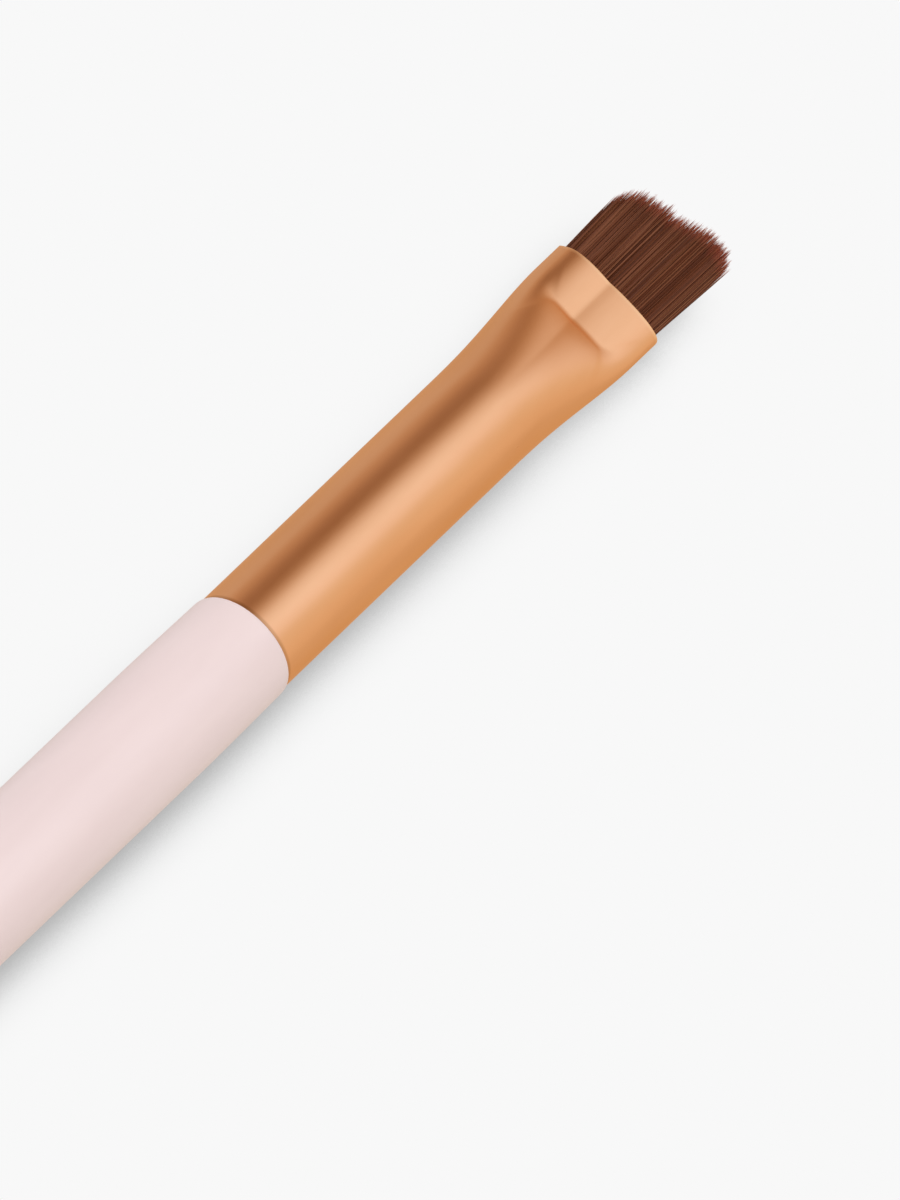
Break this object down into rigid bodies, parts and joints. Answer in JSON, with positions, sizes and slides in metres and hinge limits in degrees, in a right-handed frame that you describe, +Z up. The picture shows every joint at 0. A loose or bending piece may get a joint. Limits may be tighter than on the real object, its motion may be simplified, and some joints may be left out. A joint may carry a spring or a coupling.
{
  "type": "double-ended brow brush",
  "caption": "Slim brow brush with a pink round handle, an angled flat tuft in a flattened copper ferrule at one end and a twisted-wire spoolie at the other.",
  "frame": {"origin": "on the surface that the brush lies on, below the middle of its overall length and width", "axes": "+X along the brush from the spoolie to the angled tuft, +Z up, square to the flattened ferrule's pads, +Y to the tuft's short side"},
  "size_m": [0.1754, 0.0076, 0.0069],
  "materials": {
    "pink_lacquered_wood": "turned wood under a smooth satin pale pink lacquer",
    "copper_anodised": "satin copper-coloured anodised",
    "brown_fibre": "dark brown synthetic fibre with reddish tips",
    "brown_filament": "dark brown nylon filament",
    "cotton_thread": "undyed thread",
    "cast_epoxy": "clear amber resin, as cast",
    "holder_plastic": "moulded",
    "steel_wire": "drawn bright"
  },
  "bodies": {
    "root": {"handle": "pink_lacquered_wood", "brow_ferrule": "copper_anodised", "spoolie_ferrule": "copper_anodised", "brow_tuft": "brown_fibre", "brow_root_bundle": "brown_fibre", "spoolie_filaments": "brown_filament", "brow_root_tie": "cotton_thread", "brow_epoxy_plug": "cast_epoxy", "spoolie_epoxy_plug": "cast_epoxy", "brow_tenon_glue": "cast_epoxy", "spoolie_tenon_glue": "cast_epoxy", "spoolie_wire_holder": "holder_plastic", "spoolie_wire": "steel_wire"}
  },
  "joints": []
}
